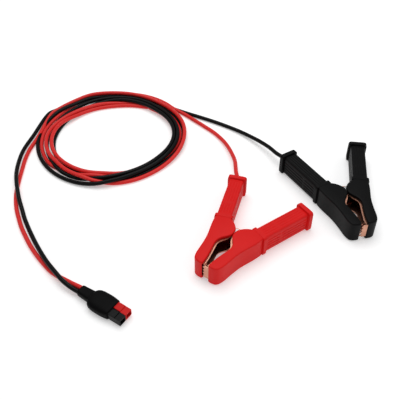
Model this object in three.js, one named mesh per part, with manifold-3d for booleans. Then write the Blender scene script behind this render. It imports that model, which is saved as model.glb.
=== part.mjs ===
// Alligator clip power cable: two insulated battery clips on single-core leads that run through
// one loose round coil to a two-pole connector with a moulded boot. Millimetres, +Z up, on the floor.
import * as THREE from "three";
import { mergeVertices } from "three/addons/utils/BufferGeometryUtils.js";
import Module from "manifold-3d";

const wasm = await Module();
wasm.setup();

// Clearances
const TOUCH_GAP = 0.3; // between two pieces that touch
const RUNNING_GAP = 0.3; // round the pivot
const CUT_MARGIN = 1; // how far a cutter reaches past the face that it opens

// Clip covers, in plan from above: the pivot at the origin, the handles toward +Y, the free arm at +X
const HUB_PROUD = 1.5; // hub and jaw past the handle's top and bottom
const COVER_WALL = 1.6;
const COVER_EDGE = 1; // bevel round the hub's and jaw's edges
const JAW_LENGTH = 52.3; // pivot to nose
const NOSE_GAP = 3.0; // from the middle plane to a cover's nose
const NOSE_WIDTH = 9.8;
const NOSE_SLOPE = 2.2; // how far the nose's outer corner lies back
const NOSE_ROUNDING = 3.2;
const HUB_WIDTH = 28; // middle plane to the back of the hub, at the collar
const MOUTH_TOP = 7; // pivot to the point where the mouth opens
const MOUTH_WIDEST = 22; // pivot to the mouth's widest place
const MOUTH_HALF_WIDTH = 8;
const PART_LINE = 0.3; // from the middle plane to a cover's edge at the pivot
const ARM_ANGLE = THREE.MathUtils.degToRad(19.6); // handle against the clip's axis
const ARM_FOOT = new THREE.Vector2(20.4, 9.5); // middle of the collar
const HANDLE_WIDTH = 15.4;
const HANDLE_HEIGHT = 20;
const HANDLE_LENGTH = 60; // collar's middle to the flange's end
const COLLAR_LENGTH = 4;
const COLLAR_PROUD = 1.4;
const FLANGE_LENGTH = 4.5;
const FLANGE_PROUD = 1.5;
const BAND_PROUD = 2; // collar and flange past the handle's top and bottom; the clip lies on them
const BAND_EDGE = 0.8;

// Clip metal
const PLATE = 0.9;
const EAR_RADIUS = 5.6;
const EAR_BRIDGE = 4; // how far an inner ear reaches under its own side plate
const JAW_EDGE_PROUD = 1.4; // side plates past the cover's edge round the mouth
const TEETH = 5;
const TOOTH_PITCH = 3.2;
const TOOTH_DEPTH = 1.7;
const RIVET_RADIUS = 2;
const RIVET_HEAD_RADIUS = 3.6;
const RIVET_HEAD = 1;
const SPRING_WIRE = 1.3;
const SPRING_RADIUS = 3.6; // to the middle of the wire
const SPRING_TURNS = 4;
const SPRING_PITCH = 1.7;
const SPRING_BEND = 10; // pivot to the height at which a leg turns into its handle
const SPRING_LEG = 20; // length of a leg inside its handle

// Where the clips lie on the floor
const RED_PIVOT = new THREE.Vector2(34.5, -65.2);
const RED_TURN = THREE.MathUtils.degToRad(-35.3);
const BLACK_PIVOT = new THREE.Vector2(148.1, -5.6);
const BLACK_TURN = THREE.MathUtils.degToRad(12.3);

// Cable and coil
const CABLE_DIAMETER = 4.5;
const CABLE_SIDES = 8;
const COIL_CENTRE = new THREE.Vector2(-99.6, 106);
const COIL_RADIUS = 77.5; // middle of the bundle
const COIL_WIDTH = 15;
const COIL_HEIGHT = 9.3;
const COIL_EDGE = 2;
const COIL_SEGMENTS = 72;
const FLOOR_GAP = 0.2; // under a lead that lies on the floor

// Connector
const PLUG_FRONT = new THREE.Vector2(-64.6, -153.4); // middle of the housings' mating faces
const PLUG_TURN = THREE.MathUtils.degToRad(-34.6); // direction in which the mating faces look
const HOUSING_SIZE = 7.9;
const HOUSING_LENGTH = 24.6;
const HOUSING_WALL = 1.1;
const HOUSING_MOUTH_DEPTH = 13;
const HOUSING_SEAT = 10.6; // length held in the boot
const CONTACT_WIDTH = 4.6;
const CONTACT_THICKNESS = 1.2;
const CONTACT_LENGTH = 18;
const CONTACT_SETBACK = 3; // from the mating face
const BOOT_LENGTH = 25;
const BOOT_WIDTH = 21.6;
const BOOT_FRONT_WIDTH = 19;
const BOOT_HEIGHT = 11;
const BOOT_FULLNESS = 3.2; // 2 gives an elliptical section, more a squarer one
const NECK_LENGTH = 14;
const NECK_WIDTH = 10.4;
const NECK_FLARE = 2.6;
const NECK_HEIGHT = 7.6;
const NECK_EDGE = 1.6;
const NECK_LAP = 1.1; // how far the neck runs into the boot
const BOOT_SHOULDER = 1.6; // how far the boot's back corners are drawn in
const BOOT_HEEL = 4; // how far its back edge is

// Worked out from the sizes above
const HUB_HEIGHT = HANDLE_HEIGHT + 2 * HUB_PROUD;
const BAND_HEIGHT = HANDLE_HEIGHT + 2 * BAND_PROUD;
const MID = BAND_HEIGHT / 2;
const METAL_HALF = HANDLE_HEIGHT / 2 - COVER_WALL - TOUCH_GAP;
const HUB_HOLLOW_HALF = HUB_HEIGHT / 2 - COVER_WALL;
const INNER_EAR_HALF = METAL_HALF - PLATE - RUNNING_GAP;
const ARM_WAY = new THREE.Vector2(Math.sin(ARM_ANGLE), Math.cos(ARM_ANGLE));
const ARM_OUT = new THREE.Vector2(ARM_WAY.y, -ARM_WAY.x);
const CABLE_RADIUS = CABLE_DIAMETER / 2;

const redPlastic = new THREE.MeshStandardMaterial({ color: 0xcc2222, roughness: 0.45 });
const blackPlastic = new THREE.MeshStandardMaterial({ color: 0x1c1c1e, roughness: 0.5 });
const copper = new THREE.MeshStandardMaterial({ color: 0xc98a6b, roughness: 0.35, metalness: 1 });
const steel = new THREE.MeshStandardMaterial({ color: 0x9a9a9c, roughness: 0.35, metalness: 1 });
const silver = new THREE.MeshStandardMaterial({ color: 0xc8c8c4, roughness: 0.3, metalness: 1 });

function solidOf(geometry) {
  const bare = geometry.clone();
  bare.deleteAttribute("normal");
  bare.deleteAttribute("uv");
  const merged = mergeVertices(bare, 1e-4);
  return new wasm.Manifold(
    new wasm.Mesh({
      numProp: 3,
      vertProperties: merged.attributes.position.array,
      triVerts: new Uint32Array(merged.index.array),
    }),
  );
}

function geometryOf(solid) {
  const mesh = solid.getMesh();
  const positions = new Float32Array(mesh.numVert * 3);
  for (let i = 0; i < mesh.numVert; i++) {
    const start = i * mesh.numProp;
    positions.set(mesh.vertProperties.subarray(start, start + 3), i * 3);
  }
  return new THREE.BufferGeometry()
    .setAttribute("position", new THREE.BufferAttribute(positions, 3))
    .setIndex(new THREE.BufferAttribute(mesh.triVerts, 1));
}

function joined(...solids) {
  return solids.reduce((whole, next) => whole.add(next));
}

function cut(solid, ...cutters) {
  return cutters.reduce((whole, next) => whole.subtract(next), solid);
}

function pieceMesh(name, solid, material) {
  const geometry = geometryOf(solid);
  geometry.computeVertexNormals();
  const mesh = new THREE.Mesh(geometry, material);
  mesh.name = name;
  return mesh;
}

// An outline raised from z = low to z = high, its top and bottom edges bevelled by `edge`.
function raised(shape, low, high, edge = 0) {
  const geometry = new THREE.ExtrudeGeometry(shape, {
    depth: high - low - 2 * edge,
    bevelEnabled: edge > 0,
    bevelSize: edge,
    bevelThickness: edge,
    bevelOffset: -edge,
    bevelSegments: 2,
  });
  geometry.translate(0, 0, low + edge);
  return solidOf(geometry);
}

function roundBar(radius, low, high, sides = 32) {
  const geometry = new THREE.CylinderGeometry(radius, radius, high - low, sides);
  geometry.rotateX(Math.PI / 2);
  geometry.translate(0, 0, (low + high) / 2);
  return solidOf(geometry);
}

// Moves an open line of points to its left by `distance`, its corners mitred.
function offsetLine(points, distance) {
  return points.map((point, i) => {
    const normals = [];
    if (i > 0) normals.push(leftOf(points[i - 1], point));
    if (i < points.length - 1) normals.push(leftOf(point, points[i + 1]));
    const sum = normals.reduce((a, b) => a.clone().add(b)).normalize();
    return point.clone().addScaledVector(sum, distance / sum.dot(normals[0]));
  });
}

function leftOf(from, to) {
  const way = to.clone().sub(from).normalize();
  return new THREE.Vector2(-way.y, way.x);
}

// A point given by its distance along the arm from the collar's middle and outward from the arm's middle.
function armPoint(along, outward) {
  return ARM_FOOT.clone().addScaledVector(ARM_WAY, along).addScaledVector(ARM_OUT, outward);
}

function armBlock(from, to, inner, outer, halfHeight, edge = 0) {
  const corners = [
    armPoint(from, outer),
    armPoint(to, outer),
    armPoint(to, inner),
    armPoint(from, inner),
  ];
  return raised(new THREE.Shape(corners), MID - halfHeight, MID + halfHeight, edge);
}

// The back of a jaw from its nose to the collar, the free arm's, at +X.
function backLine() {
  const noseOuter = NOSE_GAP + NOSE_WIDTH;
  return [
    new THREE.Vector2(NOSE_GAP, -JAW_LENGTH),
    new THREE.Vector2(noseOuter - NOSE_ROUNDING, -JAW_LENGTH + 0.3 * NOSE_SLOPE),
    new THREE.Vector2(noseOuter - 0.3 * NOSE_ROUNDING, -JAW_LENGTH + NOSE_SLOPE),
    new THREE.Vector2(noseOuter + 0.4, -JAW_LENGTH + NOSE_SLOPE + NOSE_ROUNDING),
    new THREE.Vector2(noseOuter + 1.6, -0.84 * JAW_LENGTH),
    new THREE.Vector2(noseOuter + 3.2, -0.63 * JAW_LENGTH),
    new THREE.Vector2(HUB_WIDTH - 9.2, -0.4 * JAW_LENGTH),
    new THREE.Vector2(HUB_WIDTH - 3.2, -5),
    new THREE.Vector2(HUB_WIDTH, ARM_FOOT.y - 4.5),
  ];
}

// The crotch between the handles, from the collar down to the pivot.
function crotchLine() {
  return [
    armPoint(2, -HANDLE_WIDTH / 2 + 0.4),
    armPoint(-2.5, -HANDLE_WIDTH / 2 - 0.4),
    new THREE.Vector2(9.2, 8.8),
    new THREE.Vector2(3.2, 3.6),
    new THREE.Vector2(1.3, 1),
    new THREE.Vector2(PART_LINE, -1),
  ];
}

// The edge of the mouth from the pivot to the nose.
function mouthLine() {
  return [
    new THREE.Vector2(PART_LINE, -MOUTH_TOP),
    new THREE.Vector2(MOUTH_HALF_WIDTH * 0.4, -MOUTH_TOP - 0.32 * (MOUTH_WIDEST - MOUTH_TOP)),
    new THREE.Vector2(MOUTH_HALF_WIDTH - 0.6, -MOUTH_WIDEST + 3.5),
    new THREE.Vector2(MOUTH_HALF_WIDTH, -MOUTH_WIDEST - 1),
    new THREE.Vector2(MOUTH_HALF_WIDTH - 2.2, -MOUTH_WIDEST - 11),
    new THREE.Vector2(NOSE_GAP + 0.5, -JAW_LENGTH + 8),
    new THREE.Vector2(NOSE_GAP, -JAW_LENGTH),
  ];
}

// The inside of a cover in the hub and jaw: closed at the back and crotch, open toward the other arm.
function hubHollow() {
  const back = offsetLine(backLine(), COVER_WALL);
  const crotch = offsetLine(crotchLine(), COVER_WALL);
  const openSide = -EAR_RADIUS;
  const outline = [
    ...back,
    armPoint(0, HANDLE_WIDTH / 2 - COVER_WALL),
    armPoint(0, -HANDLE_WIDTH / 2 + COVER_WALL),
    ...crotch.slice(1),
    new THREE.Vector2(openSide, crotch.at(-1).y),
    new THREE.Vector2(openSide, back[0].y),
  ];
  const low = MID - HUB_HOLLOW_HALF;
  const high = MID + HUB_HOLLOW_HALF;
  const earRoom = roundBar(EAR_RADIUS + RUNNING_GAP, low, high);
  return joined(raised(new THREE.Shape(outline), low, high), earRoom);
}

// One arm's moulded cover. The cable arm's end is closed round its cable, the free arm's is open.
function armCover(carriesCable) {
  const half = HANDLE_WIDTH / 2;
  const hubOutline = [
    ...backLine(),
    armPoint(-1, half + COLLAR_PROUD / 2),
    ...crotchLine(),
    ...mouthLine().slice(0, -1),
  ];
  const hubLow = MID - HUB_HEIGHT / 2;
  const hub = raised(new THREE.Shape(hubOutline), hubLow, hubLow + HUB_HEIGHT, COVER_EDGE);
  const band = half + COLLAR_PROUD;
  const rim = half + FLANGE_PROUD;
  const bandHalf = BAND_HEIGHT / 2;
  const collarHalf = COLLAR_LENGTH / 2;
  const collar = armBlock(-collarHalf, collarHalf, -band, band, bandHalf, BAND_EDGE);
  const flangeStart = HANDLE_LENGTH - FLANGE_LENGTH;
  const flange = armBlock(flangeStart, HANDLE_LENGTH, -rim, rim, bandHalf, BAND_EDGE);
  const handle = armBlock(0, HANDLE_LENGTH - 1, -half, half, HANDLE_HEIGHT / 2, BAND_EDGE);
  const inside = half - COVER_WALL;
  const hollowEnd = carriesCable ? HANDLE_LENGTH - COVER_WALL : HANDLE_LENGTH + CUT_MARGIN;
  const handleHollow = armBlock(
    -collarHalf - COVER_WALL,
    hollowEnd,
    -inside,
    inside,
    HANDLE_HEIGHT / 2 - COVER_WALL,
  );
  return cut(joined(hub, collar, handle, flange), hubHollow(), handleHollow);
}

// The toothed plate at the nose, from the jaw's back to the middle plane.
function nosePlate() {
  const tip = TOUCH_GAP / 2;
  const back = NOSE_GAP + NOSE_WIDTH - COVER_WALL - 2 * TOUCH_GAP;
  const teethStart = (-TEETH * TOOTH_PITCH) / 2;
  const outline = [new THREE.Vector2(back, -METAL_HALF), new THREE.Vector2(back, METAL_HALF)];
  outline.push(new THREE.Vector2(tip + TOOTH_DEPTH, METAL_HALF));
  for (let i = TEETH; i > 0; i--) {
    outline.push(new THREE.Vector2(tip + TOOTH_DEPTH, teethStart + i * TOOTH_PITCH));
    outline.push(new THREE.Vector2(tip, teethStart + (i - 0.5) * TOOTH_PITCH));
  }
  outline.push(new THREE.Vector2(tip + TOOTH_DEPTH, teethStart));
  outline.push(new THREE.Vector2(tip + TOOTH_DEPTH, -METAL_HALF));
  const geometry = new THREE.ExtrudeGeometry(new THREE.Shape(outline), {
    depth: PLATE,
    bevelEnabled: false,
  });
  geometry.rotateX(Math.PI / 2);
  geometry.translate(0, -JAW_LENGTH + COVER_WALL + NOSE_SLOPE + PLATE, MID);
  return solidOf(geometry);
}

// One arm's copper-plated channel: back, two side plates, toothed nose and the ears at the pivot.
function armMetal(innerEars) {
  const inset = COVER_WALL + TOUCH_GAP;
  const back = offsetLine(backLine(), inset);
  const backInner = offsetLine(backLine(), inset + PLATE);
  const crotch = offsetLine(crotchLine(), inset);
  const half = HANDLE_WIDTH / 2 - inset;
  const clearOfOther = (p) => p.setX(Math.max(p.x, PART_LINE));
  const mouth = offsetLine(mouthLine(), -JAW_EDGE_PROUD).map(clearOfOther);
  mouth.at(-1).y = back[0].y;
  const side = new THREE.Shape([
    ...back.slice(1),
    armPoint(0, half),
    armPoint(CUT_MARGIN, half),
    armPoint(CUT_MARGIN, -half),
    ...crotch.slice(1, -2),
    new THREE.Vector2(PART_LINE, crotch.at(-2).y),
    ...mouth,
  ]);
  const low = MID - METAL_HALF;
  const high = MID + METAL_HALF;
  const ribbon = new THREE.Shape([
    ...back.slice(1),
    armPoint(0, half),
    armPoint(CUT_MARGIN, half),
    armPoint(CUT_MARGIN, half - PLATE),
    ...backInner.slice(1).reverse(),
  ]);
  const handleEnd = HANDLE_LENGTH - COVER_WALL - TOUCH_GAP;
  const channel = cut(
    armBlock(0, handleEnd, -half, half, METAL_HALF),
    armBlock(-CUT_MARGIN, handleEnd + CUT_MARGIN, -half - CUT_MARGIN, half - PLATE, METAL_HALF - PLATE),
  );
  const sides = [
    raised(side, low, low + PLATE),
    raised(side, high - PLATE, high),
  ];
  const body = joined(...sides, raised(ribbon, low, high), channel, nosePlate());
  const boreLow = low - CUT_MARGIN;
  const boreHigh = high + CUT_MARGIN;
  const bore = roundBar(RIVET_RADIUS + RUNNING_GAP, boreLow, boreHigh);
  if (!innerEars) {
    const ears = [roundBar(EAR_RADIUS, low, low + PLATE), roundBar(EAR_RADIUS, high - PLATE, high)];
    return cut(joined(body, ...ears), bore);
  }
  // The free arm's side plates stop short of the other arm's ears and step inward to ears of their own.
  const room = roundBar(EAR_RADIUS + RUNNING_GAP, boreLow, boreHigh);
  const reach = EAR_RADIUS + RUNNING_GAP + EAR_BRIDGE;
  const bridgeArea = raised(
    new THREE.Shape([
      new THREE.Vector2(PART_LINE, -EAR_RADIUS),
      new THREE.Vector2(reach, -EAR_RADIUS),
      new THREE.Vector2(reach, 1),
      new THREE.Vector2(PART_LINE, 1),
    ]),
    low,
    high,
  );
  const innerLow = MID - INNER_EAR_HALF;
  const innerHigh = MID + INNER_EAR_HALF;
  const lowTab = roundBar(reach, innerLow, innerLow + PLATE).intersect(bridgeArea);
  const highTab = roundBar(reach, innerHigh - PLATE, innerHigh).intersect(bridgeArea);
  const step = cut(roundBar(reach, low, high).intersect(bridgeArea), room);
  const stepMiddle = roundBar(reach + CUT_MARGIN, innerLow + PLATE, innerHigh - PLATE);
  const ears = [
    roundBar(EAR_RADIUS, innerLow, innerLow + PLATE),
    roundBar(EAR_RADIUS, innerHigh - PLATE, innerHigh),
  ];
  return cut(joined(cut(body, room), cut(step, stepMiddle), lowTab, highTab, ...ears), bore);
}

function rivet() {
  const headStart = METAL_HALF + TOUCH_GAP;
  return joined(
    roundBar(RIVET_RADIUS, MID - headStart - RIVET_HEAD / 2, MID + headStart + RIVET_HEAD / 2, 24),
    roundBar(RIVET_HEAD_RADIUS, MID - headStart - RIVET_HEAD, MID - headStart, 24),
    roundBar(RIVET_HEAD_RADIUS, MID + headStart, MID + headStart + RIVET_HEAD, 24),
  );
}

// The torsion spring round the rivet. Each leg leaves the turns on a tangent at 45 degrees, crosses to
// the mouth of its own handle and lies along that handle's middle.
function torsionSpring() {
  const height = SPRING_TURNS * SPRING_PITCH;
  const low = MID - height / 2;
  const high = MID + height / 2;
  const leg = (side, z) => {
    const bend = new THREE.Vector3(side * (SPRING_BEND + SPRING_RADIUS * Math.SQRT2), SPRING_BEND, z);
    const end = armPoint(SPRING_LEG, -SPRING_RADIUS);
    return [bend, new THREE.Vector3(side * end.x, end.y, z)];
  };
  const points = leg(1, low).reverse();
  const steps = SPRING_TURNS * 12 + 3;
  for (let i = 0; i <= steps; i++) {
    const angle = -Math.PI / 4 - (i / 12) * 2 * Math.PI;
    const z = low + (i / steps) * height;
    points.push(new THREE.Vector3(SPRING_RADIUS * Math.cos(angle), SPRING_RADIUS * Math.sin(angle), z));
  }
  points.push(...leg(-1, high));
  return roundTube(points, SPRING_WIRE, 6, 90);
}

function roundTube(points, diameter, sides, steps) {
  const section = new THREE.Shape();
  for (let i = 0; i < sides; i++) {
    const angle = (i / sides) * 2 * Math.PI;
    const x = (diameter / 2) * Math.cos(angle);
    const y = (diameter / 2) * Math.sin(angle);
    if (i === 0) section.moveTo(x, y);
    else section.lineTo(x, y);
  }
  section.closePath();
  const path = new THREE.CatmullRomCurve3(points, false, "centripetal");
  const geometry = new THREE.ExtrudeGeometry(section, {
    steps,
    bevelEnabled: false,
    extrudePath: path,
  });
  return solidOf(geometry);
}

function mirrored(solid) {
  return solid.mirror([1, 0, 0]);
}

function clip(colour, cover, pivot, turn) {
  const group = new THREE.Group();
  group.add(
    pieceMesh(`${colour}_cable_arm_cover`, mirrored(armCover(true)), cover),
    pieceMesh(`${colour}_free_arm_cover`, armCover(false), cover),
    pieceMesh(`${colour}_cable_arm_jaw`, mirrored(armMetal(false)), copper),
    pieceMesh(`${colour}_free_arm_jaw`, armMetal(true), copper),
    pieceMesh(`${colour}_pivot_rivet`, rivet(), steel),
    pieceMesh(`${colour}_spring`, torsionSpring(), steel),
  );
  group.rotation.z = turn;
  group.position.set(pivot.x, pivot.y, 0);
  return group;
}

// Where a clip's cable leaves its handle, and the way it points there.
function cableExit(pivot, turn) {
  const end = armPoint(HANDLE_LENGTH + TOUCH_GAP, 0);
  const centre = new THREE.Vector2();
  const place = new THREE.Vector2(-end.x, end.y).rotateAround(centre, turn).add(pivot);
  const way = new THREE.Vector2(-ARM_WAY.x, ARM_WAY.y).rotateAround(centre, turn);
  return { place: new THREE.Vector3(place.x, place.y, MID), way: new THREE.Vector3(way.x, way.y, 0) };
}

function plugFrame() {
  const way = new THREE.Vector2(Math.cos(PLUG_TURN), Math.sin(PLUG_TURN));
  const left = new THREE.Vector2(-way.y, way.x);
  return { way, left };
}

// An outline in the plane that `turn` brings upright, pushed through from -reach to reach.
function pushedThrough(points, reach, turn) {
  const geometry = new THREE.ExtrudeGeometry(new THREE.Shape(points), {
    depth: 2 * reach,
    bevelEnabled: false,
  });
  geometry.translate(0, 0, -reach);
  turn(geometry);
  return solidOf(geometry);
}

// Half an ellipse-like arch of points from (from, base) over height `rise` to (to, base).
function archPoints(from, to, base, rise, fullness, count = 10) {
  return Array.from({ length: count + 1 }, (_, i) => {
    const t = i / count;
    const lift = (1 - Math.abs(2 * t - 1) ** fullness) ** (1 / fullness);
    return new THREE.Vector2(THREE.MathUtils.lerp(from, to, t), base + rise * lift);
  });
}

// The moulded boot, in the connector's own frame: +X toward the mating faces, its front edge at x = 0.
function boot() {
  const middle = BOOT_HEIGHT / 2;
  const plan = [
    new THREE.Vector2(0, -BOOT_FRONT_WIDTH / 2),
    new THREE.Vector2(0, BOOT_FRONT_WIDTH / 2),
    new THREE.Vector2(-BOOT_LENGTH * 0.3, BOOT_WIDTH / 2),
    new THREE.Vector2(-BOOT_LENGTH * 0.75, BOOT_WIDTH / 2),
    new THREE.Vector2(-BOOT_LENGTH * 0.93, BOOT_WIDTH / 2 - BOOT_SHOULDER),
    new THREE.Vector2(-BOOT_LENGTH, BOOT_WIDTH / 2 - BOOT_HEEL),
  ];
  const mirroredPlan = plan
    .slice(2)
    .reverse()
    .map((p) => new THREE.Vector2(p.x, -p.y));
  const body = pushedThrough([...plan, ...mirroredPlan], BOOT_HEIGHT, (g) => g.translate(0, 0, middle));
  const section = [
    ...archPoints(-BOOT_WIDTH / 2, BOOT_WIDTH / 2, middle, middle, BOOT_FULLNESS),
    ...archPoints(BOOT_WIDTH / 2, -BOOT_WIDTH / 2, middle, -middle, BOOT_FULLNESS).slice(1, -1),
  ].reverse();
  const acrossSection = pushedThrough(section, BOOT_LENGTH + CUT_MARGIN, (g) => {
    g.rotateX(Math.PI / 2);
    g.rotateZ(Math.PI / 2);
  });
  const neckEnd = -BOOT_LENGTH - NECK_LENGTH;
  const neckHalf = NECK_WIDTH / 2;
  const neckRoot = -BOOT_LENGTH + NECK_LAP;
  const neckPlan = new THREE.Shape([
    new THREE.Vector2(neckRoot, neckHalf + NECK_FLARE / 2),
    new THREE.Vector2(neckEnd, neckHalf),
    new THREE.Vector2(neckEnd, -neckHalf),
    new THREE.Vector2(neckRoot, -neckHalf - NECK_FLARE / 2),
  ]);
  const neckLow = middle - NECK_HEIGHT / 2;
  const neck = raised(neckPlan, neckLow, neckLow + NECK_HEIGHT, NECK_EDGE);
  const pairHalf = HOUSING_SIZE + TOUCH_GAP / 2 + TOUCH_GAP;
  const seatHeight = HOUSING_SIZE + 2 * TOUCH_GAP;
  const seat = bar(-HOUSING_SEAT - TOUCH_GAP, CUT_MARGIN, 0, 2 * pairHalf, middle, seatHeight);
  return cut(joined(body.intersect(acrossSection), neck), seat);
}

function connector() {
  const group = new THREE.Group();
  group.add(pieceMesh("connector_boot", boot(), blackPlastic));
  group.add(...housing("red", 1, redPlastic), ...housing("black", -1, blackPlastic));
  group.rotation.z = PLUG_TURN;
  const { way } = plugFrame();
  const front = HOUSING_LENGTH - HOUSING_SEAT;
  group.position.set(PLUG_FRONT.x - way.x * front, PLUG_FRONT.y - way.y * front, 0);
  return group;
}

function bar(lowX, highX, midY, width, midZ, height) {
  const geometry = new THREE.BoxGeometry(highX - lowX, width, height);
  geometry.translate((lowX + highX) / 2, midY, midZ);
  return solidOf(geometry);
}

function housing(colour, side, material) {
  const middle = BOOT_HEIGHT / 2;
  const midY = side * (HOUSING_SIZE / 2 + TOUCH_GAP / 2);
  const back = -HOUSING_SEAT;
  const front = back + HOUSING_LENGTH;
  const bore = HOUSING_SIZE - 2 * HOUSING_WALL;
  const contactFront = front - CONTACT_SETBACK;
  const contactBack = contactFront - CONTACT_LENGTH;
  const slotWidth = CONTACT_WIDTH + 2 * TOUCH_GAP;
  const slotHeight = CONTACT_THICKNESS + 2 * TOUCH_GAP;
  const shell = cut(
    bar(back, front, midY, HOUSING_SIZE, middle, HOUSING_SIZE),
    bar(front - HOUSING_MOUTH_DEPTH, front + CUT_MARGIN, midY, bore, middle, bore),
    bar(contactBack - TOUCH_GAP, front, midY, slotWidth, middle, slotHeight),
  );
  const contact = bar(contactBack, contactFront, midY, CONTACT_WIDTH, middle, CONTACT_THICKNESS);
  return [
    pieceMesh(`${colour}_housing`, shell, material),
    pieceMesh(`${colour}_contact`, contact, silver),
  ];
}

// The coil: one ring with the outer shape of its bundle of turns.
function coil() {
  const half = COIL_WIDTH / 2;
  const inner = COIL_RADIUS - half;
  const outer = COIL_RADIUS + half;
  const profile = [
    [inner + COIL_EDGE / 2, 0],
    [outer - COIL_EDGE / 2, 0],
    [outer, COIL_EDGE / 2],
    [outer, COIL_HEIGHT - COIL_EDGE],
    [outer - COIL_EDGE, COIL_HEIGHT],
    [inner + COIL_EDGE, COIL_HEIGHT],
    [inner, COIL_HEIGHT - COIL_EDGE],
    [inner, COIL_EDGE / 2],
    [inner + COIL_EDGE / 2, 0],
  ].map(([r, z]) => new THREE.Vector2(r, z));
  const geometry = new THREE.LatheGeometry(profile, COIL_SEGMENTS);
  geometry.rotateX(Math.PI / 2);
  const mesh = pieceMesh("cable_coil", solidOf(geometry), blackPlastic);
  mesh.position.set(COIL_CENTRE.x, COIL_CENTRE.y, 0);
  return mesh;
}

// The last points of a lead, which meets the coil's side square on in the direction `degrees`.
function coilEnd(degrees) {
  const angle = THREE.MathUtils.degToRad(degrees);
  const out = new THREE.Vector2(Math.cos(angle), Math.sin(angle));
  const outer = COIL_RADIUS + COIL_WIDTH / 2;
  return [outer + 2 * CABLE_DIAMETER, outer + TOUCH_GAP].map((reach) => {
    const place = COIL_CENTRE.clone().addScaledVector(out, reach);
    return new THREE.Vector3(place.x, place.y, COIL_HEIGHT / 2);
  });
}

// A lead from a clip's handle down to the floor and on to the coil.
function clipLead(colour, material, pivot, turn, route, degrees) {
  const { place, way } = cableExit(pivot, turn);
  const straight = place.clone().addScaledVector(way, 2 * CABLE_DIAMETER);
  const points = [place, straight, ...route, ...coilEnd(degrees)];
  return pieceMesh(`${colour}_clip_lead`, roundTube(points, CABLE_DIAMETER, CABLE_SIDES, 36), material);
}

// A lead from the boot's neck along the floor to the coil.
function plugLead(colour, material, side, route, degrees) {
  const { way, left } = plugFrame();
  const back = HOUSING_LENGTH - HOUSING_SEAT + BOOT_LENGTH + NECK_LENGTH + TOUCH_GAP;
  const offset = side * (CABLE_RADIUS + TOUCH_GAP / 2);
  const exit = PLUG_FRONT.clone().addScaledVector(way, -back).addScaledVector(left, offset);
  const next = exit.clone().addScaledVector(way, -2 * CABLE_DIAMETER);
  const level = BOOT_HEIGHT / 2;
  const start = [new THREE.Vector3(exit.x, exit.y, level), new THREE.Vector3(next.x, next.y, level - 1)];
  const points = [...start, ...route, ...coilEnd(degrees)];
  return pieceMesh(`${colour}_plug_lead`, roundTube(points, CABLE_DIAMETER, CABLE_SIDES, 44), material);
}

// A route point; one with no height lies on the floor.
const along = (x, y, z = CABLE_RADIUS + FLOOR_GAP) => new THREE.Vector3(x, y, z);

const RED_CLIP_ROUTE = [
  along(41.8, 32, 10.6),
  along(39.2, 46, 8),
  along(38, 62, 5),
  along(35.2, 80, 3),
  along(30, 95.4),
  along(21.6, 105.9),
  along(11.2, 116.4),
  along(0.5, 126.5),
];

const BLACK_CLIP_ROUTE = [
  along(82, 71.5, 8.6),
  along(75.5, 83, 5),
  along(68.5, 94, 3),
  along(58, 103.6),
  along(39.2, 116.4),
  along(17.9, 130.9),
  along(0, 140.5),
];

// The red lead runs on the floor and the black one climbs over it where they cross.
const RED_PLUG_ROUTE = [
  along(-117.4, -114.8, 3.8),
  along(-125.4, -108.6, 2.6),
  along(-132.5, -104.3),
  along(-140, -98.5),
  along(-147.6, -90),
  along(-157.5, -77.5),
  along(-165.6, -65.6),
  along(-172, -54.4),
  along(-178.9, -41.3),
  along(-184.1, -28.8),
  along(-188.4, -17.3),
  along(-191.8, -4.8),
  along(-193.7, 4.9),
  along(-194.8, 17.4),
  along(-195.2, 30),
  along(-195.4, 45.5),
  along(-195.4, 61.8),
];

const BLACK_PLUG_ROUTE = [
  along(-117.9, -120.9, 6.4),
  along(-126.3, -112.9, 7.2),
  along(-133.1, -104.9, 7.5),
  along(-143.8, -91.1, 7),
  along(-153.3, -76.2, 5.6),
  along(-162.4, -60.1, 3.6),
  along(-172.2, -41.3),
  along(-178, -29.2, 2.8),
  along(-182.1, -18.9, 4),
  along(-188.1, -3.9, 6.2),
  along(-191.7, 7.5, 7.4),
  along(-195.2, 19.3, 7.5),
  along(-198.7, 35.3, 6.8),
  along(-200.7, 59, 4.8),
  along(-201, 90, 3),
  along(-197.5, 108),
];

const clips = new THREE.Group();
clips.add(
  clip("red", redPlastic, RED_PIVOT, RED_TURN),
  clip("black", blackPlastic, BLACK_PIVOT, BLACK_TURN),
);

const part = new THREE.Group();
part.add(
  clips,
  connector(),
  coil(),
  clipLead("red", redPlastic, RED_PIVOT, RED_TURN, RED_CLIP_ROUTE, 17),
  clipLead("black", blackPlastic, BLACK_PIVOT, BLACK_TURN, BLACK_CLIP_ROUTE, 25),
  plugLead("red", redPlastic, 1, RED_PLUG_ROUTE, -160),
  plugLead("black", blackPlastic, -1, BLACK_PLUG_ROUTE, 170),
);

// The origin is the bottom centre of the two clips together.
const bounds = new THREE.Box3().setFromObject(clips, true);
const middle = bounds.getCenter(new THREE.Vector3());
part.position.set(-middle.x, -middle.y, -bounds.min.z);

export default part;
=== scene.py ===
# %% [markdown]
# # Battery clip power cable
# Two insulated battery clips feed two single-core cables, which run through one loose round coil to a
# two-pole connector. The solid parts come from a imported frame; this script dresses them, so every piece
# is worked out in the frame's own axes and never moves it.

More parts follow.
